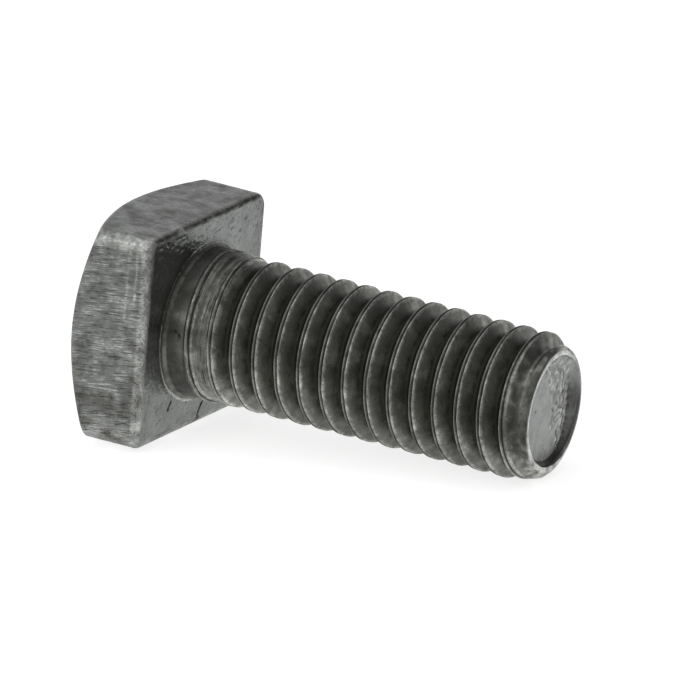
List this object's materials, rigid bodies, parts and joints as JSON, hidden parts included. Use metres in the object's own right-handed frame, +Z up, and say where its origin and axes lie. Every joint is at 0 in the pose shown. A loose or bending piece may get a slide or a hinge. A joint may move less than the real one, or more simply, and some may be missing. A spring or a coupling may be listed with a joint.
{
  "type": "square-head bolt",
  "caption": "Square-head steel bolt with a short plain neck, a coarse right-hand thread along its shank and a cupped end.",
  "frame": {"origin": "centre of the bounding box in plan, at the lowest point, as the bolt lies at rest", "axes": "+X from the head towards the tip, +Z up; the bolt lies on one flat's edge of its head and on its last full crest, so its axis tips 5.6 degrees below +X"},
  "size_m": [0.0316, 0.0138, 0.0144],
  "materials": {
    "steel": "satin"
  },
  "bodies": {
    "root": {"square_head_bolt": "steel"}
  },
  "joints": []
}
